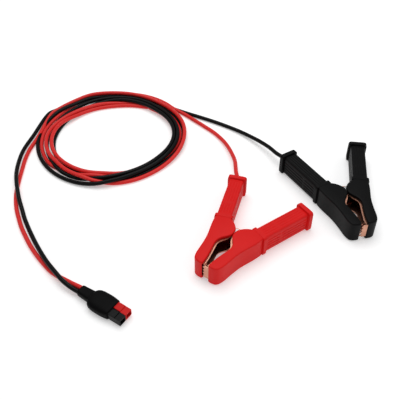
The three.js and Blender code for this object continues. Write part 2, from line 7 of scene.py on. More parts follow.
import bpy
import numpy as np
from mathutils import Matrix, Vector


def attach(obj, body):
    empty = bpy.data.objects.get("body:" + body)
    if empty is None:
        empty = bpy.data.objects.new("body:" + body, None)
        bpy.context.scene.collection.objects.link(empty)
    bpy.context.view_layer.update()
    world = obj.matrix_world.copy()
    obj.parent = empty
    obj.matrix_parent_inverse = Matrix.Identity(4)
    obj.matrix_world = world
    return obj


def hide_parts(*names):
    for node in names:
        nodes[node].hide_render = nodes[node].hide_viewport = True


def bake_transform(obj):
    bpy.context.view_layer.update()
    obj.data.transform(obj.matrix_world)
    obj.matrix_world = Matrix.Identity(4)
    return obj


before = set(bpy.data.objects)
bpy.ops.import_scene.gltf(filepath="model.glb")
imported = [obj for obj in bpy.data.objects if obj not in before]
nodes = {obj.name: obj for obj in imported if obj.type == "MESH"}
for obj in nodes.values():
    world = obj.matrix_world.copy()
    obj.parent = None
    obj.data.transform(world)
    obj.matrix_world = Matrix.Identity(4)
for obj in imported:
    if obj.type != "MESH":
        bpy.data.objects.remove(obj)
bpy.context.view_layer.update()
ROOT = "cable_and_cable_arms"

# %% [markdown]
# The frame's source lays the parts out in millimetres about the photograph's centre, and the frame is the
# same layout moved so that its origin lies under the two clips. One helper turns layout millimetres into
# frame metres, and everything below is first thought out in millimetres.

# %% Layout millimetres to frame metres
MM = 0.001
LAYOUT_SHIFT = np.array([-89.3218, 22.11, 0.0])


def metres(points):
    """Layout points in millimetres, moved by the shift and divided by a thousand."""
    return (np.asarray(points, float) + LAYOUT_SHIFT) * MM


# %% [markdown]
# The photograph looks down on the table at 44 degrees from 0.67 m. A camera with the same angle and the
# same field keeps every proportion of the picture, so it is the first thing in the scene.

# %% Camera
CAMERA_ELEVATION = np.radians(44)
CAMERA_DISTANCE = 0.672
camera_data = bpy.data.cameras.new("camera")
camera_data.sensor_width = 36
camera_data.lens = 57.6
camera = bpy.data.objects.new("camera", camera_data)
target = metres((0, 0, 0))
back = np.array([0, -np.cos(CAMERA_ELEVATION), np.sin(CAMERA_ELEVATION)])
camera.location = target + CAMERA_DISTANCE * back
camera.rotation_euler = (np.pi / 2 - CAMERA_ELEVATION, 0, 0)
bpy.context.scene.collection.objects.link(camera)
bpy.context.scene.camera = camera
print("camera at", list(camera.location))

# %% [markdown]
# Each cable is one length: from its clip over the floor to the coil, three and a quarter turns clockwise
# to the other side, and on to the connector. The free ends are given points. They run straight
# out of the handle, sink to the floor and lie in easy curves; the two crossings near the connector are
# long low humps with the black cable on top.

# %% The free ends of the cables
CABLE = 4.5
FLOOR_LAY = CABLE / 2 + 0.2
ARM_TURN = np.radians(19.6)
ARM_WAY = np.array([np.sin(ARM_TURN), np.cos(ARM_TURN)])
ARM_OUT = np.array([ARM_WAY[1], -ARM_WAY[0]])
ARM_FOOT = np.array([20.4, 9.5])
HANDLE_END = 60.0
MID = 12.0
CLIPS = {
    "red": {"pivot": np.array([34.5, -65.2]), "turn": np.radians(-35.3), "hole_out": 2.0},
    "black": {"pivot": np.array([148.1, -5.6]), "turn": np.radians(12.3), "hole_out": 0.0},
}


def turned(points, angle):
    """Points of the plane, turned about the origin."""
    p = np.asarray(points, float)
    c, s = np.cos(angle), np.sin(angle)
    return np.stack([p[..., 0] * c - p[..., 1] * s, p[..., 0] * s + p[..., 1] * c], axis=-1)


def cable_exit(clip):
    """Places on a clip's cable just inside the handle's end, at it, and just outside."""
    along = np.array([HANDLE_END - 3, HANDLE_END + 0.3, HANDLE_END + 4])[:, None]
    end = ARM_FOOT + ARM_WAY * along + ARM_OUT * clip["hole_out"]
    flat = turned(end * [-1, 1], clip["turn"]) + clip["pivot"]
    return np.column_stack([flat, [MID, MID, MID]])


def lying(points):
    """Route points; those with no height of their own lie on the floor."""
    return np.array([p if len(p) == 3 else (*p, FLOOR_LAY) for p in points], float)


CLIP_ROUTES = {
    "red": lying([(39.5, 23.5, 11.9), (38.7, 30.5, 11.6), (38.6, 39, 10.8), (38.4, 52, 9), (36.5, 64, 7.2),
                  (32.3, 80.5, 5), (26.4, 95.5, 3.3), (16.6, 110.8), (5.9, 122.3), (-6, 134.4),
                  (-18.8, 147.1)]),
    "black": lying([(84.5, 63.3, 11.2), (78.3, 74.6, 9.6), (68.8, 88.4, 7.2), (59.6, 99.6, 5),
                    (47.4, 111.8, 3.2), (34.4, 121.6), (17.9, 131.6), (0, 141.2), (-17.9, 150.2)]),
}
PLUG_FRONT = np.array([-64.6, -153.4])
PLUG_TURN = np.radians(-34.6)
PLUG_WAY = np.array([np.cos(PLUG_TURN), np.sin(PLUG_TURN)])
PLUG_LEFT = np.array([-PLUG_WAY[1], PLUG_WAY[0]])
HOUSING_LENGTH = 24.6
HOUSING_SEAT = 10.6
BOOT_LENGTH = 25.0
NECK_LENGTH = 14.0
BOOT_MID = 5.5
PLUG_ROUTES = {
    "red": lying([(-116.6, -115, 4.4), (-125.4, -108.6, 2.6), (-132.5, -104.3), (-140, -98.5),
                  (-147.6, -90), (-157.5, -77.5), (-165.6, -65.6), (-172, -54.4), (-178.9, -41.3),
                  (-184.1, -28.8), (-188.4, -17.3), (-191.8, -4.8), (-193.7, 4.9), (-194.8, 17.4),
                  (-195.2, 30), (-195.4, 45.5), (-195.4, 61.8), (-193.6, 80), (-188.5, 101)]),
    "black": lying([(-118.6, -119.4, 6.2), (-126.3, -112.9, 7.2), (-133.1, -104.9, 7.5),
                    (-143.8, -91.1, 7), (-153.3, -76.2, 5.6), (-162.4, -60.1, 3.6), (-172.2, -41.3),
                    (-178, -29.2, 2.8), (-182.1, -18.9, 4), (-188.1, -3.9, 6.2), (-191.7, 7.5, 7.4),
                    (-195.2, 19.3, 7.5), (-198.7, 35.3, 6.8), (-200.7, 59, 4.8), (-200, 80, 3),
                    (-194.5, 104)]),
}


def plug_exit(side):
    """Places on a cable inside the boot's neck, at its end and just outside."""
    back_edge = HOUSING_LENGTH - HOUSING_SEAT + BOOT_LENGTH + NECK_LENGTH
    along = np.array([back_edge - 4, back_edge, back_edge + 3])[:, None]
    flat = PLUG_FRONT - PLUG_WAY * along + PLUG_LEFT * side * (CABLE / 2 + 0.15)
    return np.column_stack([flat, [BOOT_MID, BOOT_MID, BOOT_MID - 0.1]])


print("cable exits", {name: cable_exit(clip)[1].round(1).tolist() for name, clip in CLIPS.items()})

# %% [markdown]
# In the coil a strand is written by how far it lies outside the coil's middle circle and how high, for a
# few directions, and the places between are interpolated every five degrees. Strands that were only
# written roughly would lie in each other, so the bundle then settles: again and again overlapping strands
# are pushed apart, each strand is smoothed a little along its length, drawn back toward where it was
# written, and kept on the floor.

# %% The turns of the coil
COIL_CENTRE = np.array([-101.0, 101.7])
COIL_RADIUS = 75.3
COIL_START = 150
COIL_STEP = 5
PLAY = 0.05
# direction in degrees, outward of the middle circle, height; directions fall turn by turn
RED_TURNS = [
    (150, 14, 4.5), (140, 8, 6.6), (131, 5, 6.8), (115, 8.3, 6.8), (102, 8.8, 6.8), (90, 8, 6.8),
    (79, 8.2, 6.8), (66, 6.3, 6.8), (50, 5.5, 6.8), (34, 7.8, 6.8), (18, 9.5, 6.6), (4, 8, 6.4),
    (-12, 6.6, 6), (-25, 4.6, 4), (-38, 2.6, 2.3), (-52, 1.4, 2.3), (-69, 3.2, 2.3), (-82, 3.6, 2.3),
    (-94, 1.5, 4), (-106, 0, 6), (-119, 1.4, 6.6), (-150, 1, 6.6), (-180, 1.3, 6.6), (-196, -3, 6.4),
    (-219, -10, 6.2), (-239, -10.5, 5.6), (-256, -9.5, 5), (-271, -9, 3), (-284, -6, 2.3),
    (-310, -2, 2.3), (-335, -1, 2.3), (-360, -1.5, 2.3), (-385, -7, 2.3), (-405, -10.5, 2.3),
    (-425, -10.5, 2.3), (-438, -9.5, 3.5), (-450, -9.6, 5.6), (-465, -7.4, 6.4), (-480, -7, 6),
    (-510, -5.2, 6.4), (-540, -5, 6.5), (-556, -6.5, 6.2), (-579, -13.6, 3.6), (-600, -13, 2.6),
    (-631, -12.8, 2.3), (-644, -10, 2.3), (-665, -2, 2.3), (-690, 3, 2.3), (-720, 3.7, 2.3),
    (-735, 1, 2.3), (-760, -5, 2.3), (-798, -4.5, 2.3), (-810, -5.5, 3.6), (-825, -3.5, 3.4),
    (-840, -2.5, 2.5), (-855, 2, 2.5), (-870, 5.5, 2.6), (-900, 6.7, 2.6), (-920, 7, 2.3),
    (-950, 8.5, 2.3), (-980, 11.5, 2.3), (-1010, 13, 3.5), (-1030, 12.4, 4.6), (-1041, 12.6, 3.6),
]
BLACK_TURNS = [
    (150, 19, 2.6), (140, 13.4, 2.3), (131, 9.6, 2.3), (115, 7, 2.3), (90, 3.5, 2.3), (60, 2.5, 2.3),
    (40, 5, 2.3), (17, 8.5, 2.3), (0, 7.5, 2.3), (-15, 4, 2.3), (-30, -2, 2.3), (-45, -3.8, 2.3),
    (-78, 0.5, 2.3), (-90, -1, 2.3), (-105, -3.5, 2.3), (-120, -5, 2.3), (-150, -6, 2.3),
    (-180, -8, 2.6), (-195, -9.2, 2.6), (-215, -9, 2.3), (-240, -7, 3), (-255, -5.4, 4.6),
    (-271, -5.6, 5.6), (-284, -5.4, 6), (-297, -6.4, 6), (-317, -7.4, 6), (-337, -4.4, 6.2),
    (-353, -3.8, 6), (-373, -4.6, 6.2), (-396, -8.8, 6.4), (-413, -8.2, 6.4), (-426, -7.8, 6.4),
    (-438, -5.6, 6.4), (-450, -2.6, 6), (-465, 2, 4.6), (-480, 5.2, 3.8), (-495, 4, 2.6),
    (-510, 0.8, 2.3), (-540, 0, 2.3), (-576, -0.6, 3), (-603, 0.8, 5), (-617, -0.8, 6.2),
    (-630, -0.8, 6.4), (-643, 0.4, 6.4), (-656, -1.2, 6.4), (-674, -3.6, 6.4), (-701, 0.6, 6.4),
    (-715, 0.4, 6.4), (-733, -0.8, 6.2), (-753, -3.4, 6.4), (-775, -3.6, 5.4), (-788, -2.4, 5.2),
    (-799, 0, 6), (-810, 4.6, 6), (-818, 7, 4), (-826, 8.4, 2.3), (-839, 9.4, 2.3), (-870, 10.3, 2.3),
    (-900, 11, 2.3), (-920, 10, 2.3), (-945, 8, 2.4), (-975, 6.5, 2.3), (-1010, 7, 2.3), (-1027, 8.6, 2.3),
]


def stations(turns):
    """Directions every few degrees, with the written outward distance and height between stations."""
    written = np.array(turns, float)
    directions = np.arange(COIL_START, written[-1, 0] - 0.1, -COIL_STEP)
    spread = [np.interp(-directions, -written[:, 0], written[:, k]) for k in (1, 2)]
    return directions, np.stack(spread, axis=1)


def settle(strands, rounds=260, push_share=0.8, smoothing=0.25, pull=0.03):
    """Moves each strand's (outward, height) pairs until hardly any two in one direction lie in each other.
    In a round, a pair closer than a diameter parts, each by a share of half of what is missing. Then every
    point moves a share of the way to its neighbours' middle and to where it was written."""
    per_turn = 360 // COIL_STEP
    goals = [s.copy() for s in strands]
    for _ in range(rounds):
        pushes = [np.zeros_like(s) for s in strands]
        for a in range(2):
            for b in range(a, 2):
                for turns_apart in range(-3, 4):
                    if a == b and turns_apart <= 0:
                        continue
                    lag = turns_apart * per_turn
                    i = np.arange(max(0, -lag), min(len(strands[a]), len(strands[b]) - lag))
                    if len(i) == 0:
                        continue
                    gap = strands[b][i + lag] - strands[a][i]
                    distance = np.maximum(np.linalg.norm(gap, axis=1), 0.05)[:, None]
                    missing = np.maximum(CABLE + PLAY - distance, 0) / 2
                    pushes[a][i] -= gap / distance * missing
                    pushes[b][i + lag] += gap / distance * missing
        for s, push, goal in zip(strands, pushes, goals):
            s += push * push_share
            s[1:-1] += smoothing * ((s[:-2] + s[2:]) / 2 - s[1:-1])
            s += pull * (goal - s)
            s[:, 1] = np.maximum(s[:, 1], CABLE / 2 + PLAY)
    return strands


def coil_points(directions, strand):
    """The strand's points: its direction's unit way times the middle circle's radius and its outward
    distance, at its height."""
    angle = np.radians(directions)
    out = COIL_RADIUS + strand[:, 0]
    flat = COIL_CENTRE + np.stack([np.cos(angle), np.sin(angle)], axis=1) * out[:, None]
    return np.column_stack([flat, strand[:, 1]])


red_directions, red_strand = stations(RED_TURNS)
black_directions, black_strand = stations(BLACK_TURNS)
red_strand, black_strand = settle([red_strand, black_strand])
coil = {
    "red": coil_points(red_directions, red_strand),
    "black": coil_points(black_directions, black_strand),
}
coil_height = max(points[:, 2].max() for points in coil.values()) + CABLE / 2
print("coil strands up to", round(coil_height, 1), "mm high")

# %% [markdown]
# Most pieces here are surfaces on a grid of two parameters: rows of points that are joined to the next
# row by four-sided faces. One helper makes the faces of such a grid, and another closes its two ends. Both
# work on whole arrays of point numbers, which is shorter and much quicker than a loop over points.

# %% Faces of a grid


def grid_faces(rows, columns, rows_close=False, columns_close=False):
    """Quads between neighbouring points of a grid, numbered row by row. Where the grid closes, its last
    line joins its first."""
    r = np.arange(rows if rows_close else rows - 1)
    c = np.arange(columns if columns_close else columns - 1)
    r, c = np.meshgrid(r, c, indexing="ij")
    r_next = (r + 1) % rows
    c_next = (c + 1) % columns
    corners = [(r, c), (r, c_next), (r_next, c_next), (r_next, c)]
    return np.stack([row * columns + column for row, column in corners]).reshape(4, -1).T


def capped_faces(rows, columns):
    """The quads of a grid whose rows are closed rings, and one face over each end. The first end's face
    runs backwards, so that all faces look to the same side of the surface."""
    first = list(range(columns))
    last = list(range((rows - 1) * columns, rows * columns))
    return [*grid_faces(rows, columns, columns_close=True).tolist(), first[::-1], last]


print("three rings of four points make", len(capped_faces(3, 4)), "faces with both ends closed")

# %% [markdown]
# Points and faces then become a mesh object. A face has a front and a back, and other programs may leave
# out the backs, so every closed surface is made to show its fronts on the outside. The sign of its volume
# tells whether it does.

# %% Meshes


def mesh_piece(name, points, faces, sharp_degrees=None):
    """A mesh object from rows of points and lists of corner numbers, shaded smooth up to a fold angle."""
    mesh = bpy.data.meshes.new(name)
    mesh.from_pydata(points.tolist(), [], faces)
    mesh.validate()
    mesh.shade_smooth()
    if sharp_degrees is not None:
        mesh.set_sharp_from_angle(angle=np.radians(sharp_degrees))
    piece = bpy.data.objects.new(name, mesh)
    bpy.context.scene.collection.objects.link(piece)
    return piece


def point_array(mesh):
    """All points of a mesh, one row each."""
    points = np.zeros(len(mesh.vertices) * 3)
    mesh.vertices.foreach_get("co", points)
    return points.reshape(-1, 3)


def face_outwards(piece):
    """Turns the whole surface round if its signed volume is negative: the sum of a . (b x c) over the
    triangles, divided by six."""
    mesh = piece.data
    mesh.calc_loop_triangles()
    corners = np.zeros(len(mesh.loop_triangles) * 3, np.int32)
    mesh.loop_triangles.foreach_get("vertices", corners)
    a, b, c = point_array(mesh)[corners.reshape(-1, 3)].transpose(1, 0, 2)
    if np.einsum("ij,ij->i", a, np.cross(b, c)).sum() < 0:
        mesh.flip_normals()
    return piece


# %% [markdown]
# Cables and outlines are drawn as a few points. A Catmull-Rom curve goes through every one of them
# and needs no handles, so the list of points is all there is to change.

# %% Smooth curves
SAMPLES_PER_POINT = 40


def smooth_curve(points, count):
    """A Catmull-Rom curve through the points, sampled at `count` places an equal length apart. The knots
    lie apart by the square root of the points' distance. A place between two knots is blended from the
    four points round it, in three rounds of means weighted by its distances from the knots."""
    p = np.asarray(points, float)
    padded = np.vstack([2 * p[0] - p[1], p, 2 * p[-1] - p[-2]])
    knots = np.concatenate([[0], np.cumsum(np.sqrt(np.linalg.norm(np.diff(padded, axis=0), axis=1)))])
    fine = np.linspace(knots[1], knots[-2], SAMPLES_PER_POINT * len(p))
    i = np.clip(np.searchsorted(knots, fine, side="right") - 1, 1, len(p) - 1)
    t0, t1, t2, t3 = (knots[i + k][:, None] for k in (-1, 0, 1, 2))
    p0, p1, p2, p3 = (padded[i + k] for k in (-1, 0, 1, 2))
    t = fine[:, None]
    a1 = p0 + (p1 - p0) * (t - t0) / (t1 - t0)
    a2 = p1 + (p2 - p1) * (t - t1) / (t2 - t1)
    a3 = p2 + (p3 - p2) * (t - t2) / (t3 - t2)
    b1 = a1 + (a2 - a1) * (t - t0) / (t2 - t0)
    b2 = a2 + (a3 - a2) * (t - t1) / (t3 - t1)
    curve = b1 + (b2 - b1) * (t - t1) / (t2 - t1)
    lengths = np.concatenate([[0], np.cumsum(np.linalg.norm(np.diff(curve, axis=0), axis=1))])
    even = np.linspace(0, lengths[-1], count)
    return np.stack([np.interp(even, lengths, curve[:, k]) for k in range(p.shape[1])], axis=1)


print("a curve over a corner:", smooth_curve([(0, 0), (1, 1), (2, 0)], 5).round(2).tolist())

# %% [markdown]
# A cable or a spring is a circle carried along such a curve. A tube mesh is chosen over a bevelled curve
# object, because its UV map can carry streaks along the jacket.

# %% Tubes


def tube(name, path, radius, sides=16):
    """A round tube: at each path point a circle in the plane of the side way and the way up, both square to
    the path. Its UV map holds metres along the tube and the share of a turn round it."""
    path = np.asarray(path, float)
    way = np.gradient(path, axis=0)
    way /= np.linalg.norm(way, axis=1)[:, None]
    side = np.cross(way, [0, 0, 1.0])
    side /= np.maximum(np.linalg.norm(side, axis=1), 1e-9)[:, None]
    up = np.cross(side, way)
    turn = np.linspace(0, 2 * np.pi, sides, endpoint=False)
    ring = np.cos(turn)[None, :, None] * side[:, None] + np.sin(turn)[None, :, None] * up[:, None]
    points = (path[:, None] + radius * ring).reshape(-1, 3)
    piece = face_outwards(mesh_piece(name, points, capped_faces(len(path), sides), 50))
    along = np.concatenate([[0], np.cumsum(np.linalg.norm(np.diff(path, axis=0), axis=1))])
    corner = np.zeros(len(piece.data.loops), np.int32)
    piece.data.loops.foreach_get("vertex_index", corner)
    uv = np.stack([along[corner // sides], (corner % sides) / sides], axis=1)
    piece.data.uv_layers.new(name="along").data.foreach_set("uv", uv.ravel())
    return piece


# %% [markdown]
# The stretches now join into one line per cable. Sampled every 3 mm, it is smooth even where the cable
# bends most, and stays light enough for a part of this length.

# %% Cable tubes
SAMPLE_STEP = 3
cable_paths = {}
cables = {}
for name, side in (("red", 1), ("black", -1)):
    written = np.vstack([cable_exit(CLIPS[name]), CLIP_ROUTES[name], coil[name][::-1],
                         PLUG_ROUTES[name][::-1], plug_exit(side)[::-1]])
    rough = np.linalg.norm(np.diff(written, axis=0), axis=1).sum()
    path = smooth_curve(written, int(rough / SAMPLE_STEP))
    cable_paths[name] = metres(path)
    cables[name] = tube(f"{name}_cable", cable_paths[name], CABLE / 2 * MM)
    print(name, "cable", round(np.linalg.norm(np.diff(path, axis=0), axis=1).sum() / 1000, 3), "m")

# %% [markdown]
# Finishes are node networks. A small class wraps one socket, so that a line such as `0.3 + streak * 0.1` or
# `1 - mask` writes its Math nodes by itself.

# %% Arithmetic on sockets


class Signal:
    """One output socket of a finish; arithmetic on it adds Math nodes."""

    def __init__(self, finish, socket):
        self.finish = finish
        self.socket = socket

    def join(self, operation, first, second):
        return self.finish.node("ShaderNodeMath", {"operation": operation}, {0: first, 1: second})

    def __add__(self, other):
        return self.join("ADD", self, other)

    def __mul__(self, other):
        return self.join("MULTIPLY", self, other)

    def __sub__(self, other):
        return self.join("SUBTRACT", self, other)

    def __rsub__(self, other):
        return self.join("SUBTRACT", other, self)

    __radd__ = __add__
    __rmul__ = __mul__


# %% [markdown]
# A finish is one material round Blender's all-purpose shader. One method adds any node: its type, then its
# settings, then its inputs. The others are short names for the nodes that the finishes below share.

# %% Finishes
BUMP_STRENGTH = 0.5


def socket_name(word):
    """The shader's own name of an input, from a lower-case word with underscores."""
    return word.replace("_", " ").title().replace("Ior", "IOR")


class Finish:
    """A material with one Principled shader, whose fixed values are set on its own sockets."""

    def __init__(self, name, **fixed):
        self.material = bpy.data.materials.new(name)
        self.material.use_nodes = True
        self.tree = self.material.node_tree
        self.shader = self.tree.nodes["Principled BSDF"]
        for socket, value in fixed.items():
            self.shader.inputs[socket_name(socket)].default_value = value

    def node(self, kind, settings=None, inputs=None, output=0):
        """Adds a node and gives back one of its outputs; an input is a value or another Signal."""
        made = self.tree.nodes.new(kind)
        for key, value in (settings or {}).items():
            setattr(made, key, value)
        for key, value in (inputs or {}).items():
            if isinstance(value, Signal):
                self.tree.links.new(value.socket, made.inputs[key])
            else:
                made.inputs[key].default_value = value
        return Signal(self, made.outputs[output])

    def place(self):
        """The object's own coordinates, in metres."""
        return self.node("ShaderNodeTexCoord", output="Object")

    def noise(self, vector, scale, detail=3.0):
        return self.node("ShaderNodeTexNoise", None, {"Vector": vector, "Scale": scale, "Detail": detail})

    def mixed(self, factor, first, second):
        """The first colour where the factor is 0, the second where it is 1."""
        settings = {"data_type": "RGBA"}
        return self.node("ShaderNodeMix", settings, {0: factor, 6: (*first, 1), 7: (*second, 1)}, output=2)

    def feed(self, **sockets):
        """Links signals to the shader's own inputs."""
        for socket, signal in sockets.items():
            self.tree.links.new(signal.socket, self.shader.inputs[socket_name(socket)])

    def bump(self, height, depth):
        """Bends the shading normal by a height signal; the depth is in millimetres."""
        inputs = {"Strength": BUMP_STRENGTH, "Distance": depth * MM, "Height": height}
        self.feed(normal=self.node("ShaderNodeBump", None, inputs))


def dress(piece, finish):
    """Gives a piece one finish."""
    piece.data.materials.clear()
    piece.data.materials.append(finish.material)


print("sockets are found by name, such as", socket_name("specular_ior_level"))

# %% [markdown]
# The clip covers are moulded soft PVC: satin, a little uneven in tone where hands have held it, with a fine
# grain. The housings are harder and smoother, the boot duller. Slow noise tints the colour, finer noise
# moves the roughness, and the grain is bump, because it is far too fine to model.

# %% Moulded plastic


def moulded(name, deep, light, roughness, grain, shine):
    """Colour between two tones by slow noise; roughness and fine bump by quicker noise."""
    finish = Finish(name, specular_ior_level=shine)
    place = finish.place()
    cloud = finish.noise(place, 55.0)
    fine = finish.noise(place, 900.0, 2.0)
    pebble = finish.node("ShaderNodeTexVoronoi", None, {"Vector": place, "Scale": 1500.0})
    finish.feed(base_color=finish.mixed(cloud, deep, light),
                roughness=roughness + cloud * 0.12 + fine * 0.08)
    finish.bump(fine * 0.6 + pebble * 0.5, grain)
    return finish


# deep tone, light tone, roughness, depth of the grain in millimetres, shine
PLASTICS = {
    "red_pvc": ((0.62, 0.005, 0.005), (0.74, 0.01, 0.009), 0.36, 0.06, 0.13),
    "black_pvc": ((0.0014, 0.0014, 0.0015), (0.003, 0.003, 0.0032), 0.34, 0.06, 0.08),
    "red_housing": ((0.5, 0.004, 0.003), (0.62, 0.008, 0.006), 0.3, 0.06, 0.13),
    "black_housing": ((0.002, 0.002, 0.0022), (0.004, 0.004, 0.0042), 0.3, 0.06, 0.1),
    "boot_rubber": ((0.001, 0.001, 0.0011), (0.002, 0.002, 0.0021), 0.42, 0.08, 0.06),
}
plastics = {name: moulded(name, *look) for name, look in PLASTICS.items()}
print("plastics", list(plastics))

# %% [markdown]
# A cable jacket is extruded, so what little unevenness it has runs along it. Noise on the tube's own map,
# stretched along the length, gives those streaks.

# %% Cable jackets


def jacket(name, deep, light, roughness, shine):
    """Colour and roughness by noise that is stretched along the tube."""
    finish = Finish(name, specular_ior_level=shine)
    uv = finish.node("ShaderNodeUVMap", {"uv_map": "along"})
    stretched = finish.node("ShaderNodeMapping", None, {"Vector": uv, "Scale": (6.0, 9.0, 1.0)})
    streak = finish.noise(stretched, 1.6)
    fine = finish.noise(finish.place(), 700.0, 2.0)
    finish.feed(base_color=finish.mixed(streak, deep, light), roughness=roughness + streak * 0.1)
    finish.bump(streak * 0.5 + fine * 0.4, 0.05)
    return finish


# deep tone, light tone, roughness, shine
JACKETS = {
    "red": ((0.6, 0.014, 0.013), (0.74, 0.028, 0.024), 0.3, 0.24),
    "black": ((0.0012, 0.0012, 0.0013), (0.003, 0.003, 0.0032), 0.27, 0.12),
}
for name, look in JACKETS.items():
    dress(cables[name], jacket(f"{name}_jacket", *look))
    print(cables[name].name, "wears", cables[name].active_material.name)

# %% [markdown]
# The jaws are copper-plated sheet steel, the pivot and its spring are bright steel, and the connector's
# contacts are silver-plated. Metal gets its life from slightly uneven roughness and faint brushing.

# %% Metals


def plated(name, deep, light, roughness):
    """Full metal, its tone by slow noise and its roughness and bump by noise brushed along one axis."""
    finish = Finish(name, metallic=1.0)
    place = finish.place()
    brushed = finish.node("ShaderNodeMapping", None, {"Vector": place, "Scale": (1.0, 1.0, 7.0)})
    cloud = finish.noise(place, 120.0)
    brush = finish.noise(brushed, 260.0)
    finish.feed(base_color=finish.mixed(cloud, deep, light), roughness=roughness + brush * 0.2)
    finish.bump(brush, 0.04)
    return finish


copper = plated("copper_plate", (0.46, 0.19, 0.12), (0.7, 0.38, 0.27), 0.24)
steel = plated("spring_steel", (0.42, 0.42, 0.43), (0.6, 0.6, 0.61), 0.22)
silver = plated("contact_silver", (0.62, 0.62, 0.6), (0.8, 0.8, 0.77), 0.2)
for name in CLIPS:
    for node in (f"{name}_cable_arm_jaw", f"{name}_free_arm_jaw"):
        dress(nodes[node], copper)
    dress(nodes[f"{name}_pivot_rivet"], steel)
print("metals", [metal.material.name for metal in (copper, steel, silver)])

# %% [markdown]
# A clip cover is one moulding: a jaw and hub shell that is open toward the mouth, and a hollow handle with
# a rib where it meets the hub and a flange at its end. The shell starts as its outline from above: smooth
# curves along the back, the crotch and the mouth, and a straight line over the collar's end. Together they
# are one loop of points, whose corners are then smoothed.

# %% Outline of the jaw and hub
HUB_HALF = 11.5
EDGE = 1.3
WALL = 1.6
MOUTH_HALF = 8.6
SIDE_LEVELS = (9.6, MOUTH_HALF, 4.0)


def arm_point(along, outward):
    """A place along the arm from the collar's middle, and outward from the arm's middle line."""
    return ARM_FOOT + ARM_WAY * along + ARM_OUT * outward


BACK = [(3, -52.4), (7, -52.4), (10.6, -51.9), (13, -50.4), (14.4, -47.4), (15.5, -43.5), (17, -33),
        (19.4, -21), (24.8, -5), tuple(arm_point(-4.2, 8.3)), tuple(arm_point(-2.8, 8.1)),
        tuple(arm_point(-2.1, 7.2)), tuple(arm_point(1.2, 7.1))]
CROTCH = [tuple(arm_point(1.2, -7.1)), tuple(arm_point(-2.5, -8)), (9.2, 8.8), (5.4, 6.1), (3.2, 3.9),
          (1.3, 1.4), (0.3, -1)]
CORNER_ROUNDS = 7
MOUTH = [(0.3, -1), (0.3, -4.5), (0.3, -7), (3.2, -11.8), (6.4, -16), (7.9, -20), (7.9, -24), (6.2, -31),
         (4.4, -39), (3.3, -46), (3, -52.3)]


def shell_outline():
    """The loop of points: back, collar end, crotch and mouth, and which of them lie on the mouth."""
    back_curve = smooth_curve(BACK, 96)
    crotch_curve = smooth_curve(CROTCH, 34)
    mouth_curve = smooth_curve(MOUTH, 66)
    end = np.linspace(back_curve[-1], crotch_curve[0], 18)
    loop = np.vstack([back_curve[:-1], end[:-1], crotch_curve[:-1], mouth_curve[:-1]])
    on_mouth = np.arange(len(loop)) >= len(loop) - len(mouth_curve) + 3
    for _ in range(CORNER_ROUNDS):
        loop = loop / 2 + (np.roll(loop, 1, axis=0) + np.roll(loop, -1, axis=0)) / 4
    return loop, on_mouth


print("outline", len(shell_outline()[0]), "points")

# %% [markdown]
# Stacked copies of the loop, each drawn in a little more and set higher, round the edges and close the top.
# That keeps an even edge along any outline. The faces on the mouth's side are left out, and the Solidify
# modifier gives the wall later.

# %% Shell of the jaw and hub


def drawn_in(loop, distance):
    """Each point moved square to the chord of its neighbours, inward, by the distance."""
    chord = np.roll(loop, -1, axis=0) - np.roll(loop, 1, axis=0)
    for _ in range(2):
        chord = (np.roll(chord, -1, axis=0) + 2 * chord + np.roll(chord, 1, axis=0)) / 4
    normal = np.stack([-chord[:, 1], chord[:, 0]], axis=1)
    return loop + distance * normal / np.linalg.norm(normal, axis=1)[:, None]


def shell_arrays():
    """Rows of the stack from the bottom to the top, and the faces that are kept: those on the mouth,
    between the levels that frame it, are left out."""
    loop, on_mouth = shell_outline()
    curl = np.linspace(0, np.pi / 2, 6)
    rows = [(EDGE * (1 - np.cos(a)), HUB_HALF - EDGE + EDGE * np.sin(a)) for a in curl[::-1]]
    rows += [(0.0, z) for z in SIDE_LEVELS]
    levels = [(o, -z) for o, z in rows] + [(o, z) for o, z in rows[::-1]]
    stack = [np.column_stack([drawn_in(loop, o), np.full(len(loop), z + MID)]) for o, z in levels]
    columns = len(loop)
    faces = capped_faces(len(levels), columns)
    row, column = np.divmod([face[0] for face in faces[:-2]], columns)
    half = len(levels) // 2
    open_rows = (row >= half - 2) & (row < half + 1)
    kept = np.flatnonzero(~(open_rows & on_mouth[column]))
    return np.vstack(stack), [faces[i] for i in kept] + faces[-2:]


shell_points, shell_faces = shell_arrays()
print("shell", len(shell_points), "points")

# %% [markdown]
# The handle is a rounded box carried along the arm, drawn as a superellipse whose half width and half
# height swell at the rib and at the flange. Grip grooves are pressed into its faces: where they run, the
# surface sinks by the depth times a parabola across the groove and a fade at its ends.

# %% Sections of the handle
HANDLE_HALF_WIDTH = 7.7
HANDLE_HALF_HEIGHT = 10.7
HANDLE_SQUARENESS = 9.0
HANDLE_SIDES = 220
RIB = (1.7, 1.0)
FLANGE = (2.1, 1.3)
FLANGE_START = 54.8
NECK = 0.4
SIDE_GROOVE_DEPTH = 0.5
TOP_GROOVE_DEPTH = 0.35
TOP_GROOVES = (-4.2, -1.4, 1.4, 4.2)
SIDE_GROOVES = (-5.4, -1.8, 1.8, 5.4)
GROOVE_PANELS = ((4.5, 19.5), (22, 52.5))


def swell(s, start, end, soft=0.5):
    """1 between start and end, falling to 0 over a soft edge."""
    return np.clip((s - start) / soft + 0.5, 0, 1) * np.clip((end - s) / soft + 0.5, 0, 1)


def rounded_ring(half_width, half_height, power, turn):
    """Points of |x/a|^n + |z/b|^n = 1 in the directions `turn`."""
    c, s = np.cos(turn), np.sin(turn)
    r = (np.abs(c / half_width) ** power + np.abs(s / half_height) ** power) ** (-1 / power)
    return r * c, r * s


